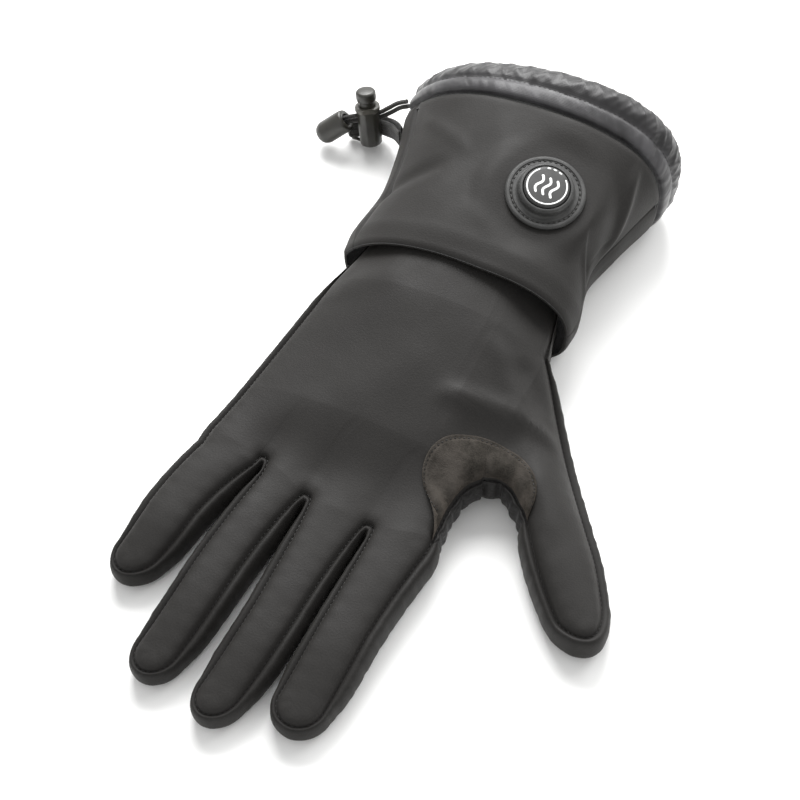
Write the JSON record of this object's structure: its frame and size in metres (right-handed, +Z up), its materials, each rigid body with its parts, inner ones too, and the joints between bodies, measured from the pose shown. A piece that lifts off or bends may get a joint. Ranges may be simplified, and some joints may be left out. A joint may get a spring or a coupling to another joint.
{
  "type": "heated glove",
  "caption": "Heated winter glove in dark softshell with suede palm, padded fingers, flared drawcord cuff with cord lock, and a round power button on the cuff.",
  "frame": {"origin": "on the surface the palm lies on, under the middle of the palm", "axes": "+Y from the fingertips towards the cuff's opening, +Z up out of the back of the hand, +X towards the thumb"},
  "size_m": [0.2063, 0.2967, 0.0599],
  "materials": {
    "softshell": "matte brushed softshell",
    "suede": "napped synthetic suede",
    "leather": "fine grained synthetic leather",
    "nylon": "glossy gathered nylon taffeta",
    "elastic": "braided elastic cord",
    "webbing": "ribbed tape",
    "plastic": "satin moulded nylon",
    "rubber": "matte moulded rubber"
  },
  "bodies": {
    "glove": {"back_panel": "softshell", "palm_panel": "suede", "side_wall_ulnar": "softshell", "fourchette_little_ring": "softshell", "fourchette_ring_middle": "softshell", "fourchette_middle_index": "softshell", "index_side_strip": "softshell", "crotch_gusset": "leather", "thumb_side_strip": "softshell", "thumb_crotch_patch": "suede", "cuff_back_panel": "softshell", "cuff_palm_panel": "softshell", "drawcord_tunnel": "nylon", "button_flange": "rubber", "cord_lock_body": "plastic", "drawcord_strand_upper": "elastic", "drawcord_strand_lower": "elastic", "cord_end": "plastic", "anchor_tape": "webbing"},
    "button": {"button_cap": "rubber"},
    "plunger": {"cord_lock_plunger": "plastic"}
  },
  "joints": [
    {"name": "button_press", "type": "slide", "parent": "glove", "child": "button", "axis": [-0.0906, 0.1827, -0.979], "range_m": [0, 0.0008], "stiffness_N_per_m": 600},
    {"name": "plunger_press", "type": "slide", "parent": "glove", "child": "plunger", "axis": [0.2056, -0.2166, -0.9544], "range_m": [0, 0.0025], "stiffness_N_per_m": 800}
  ]
}
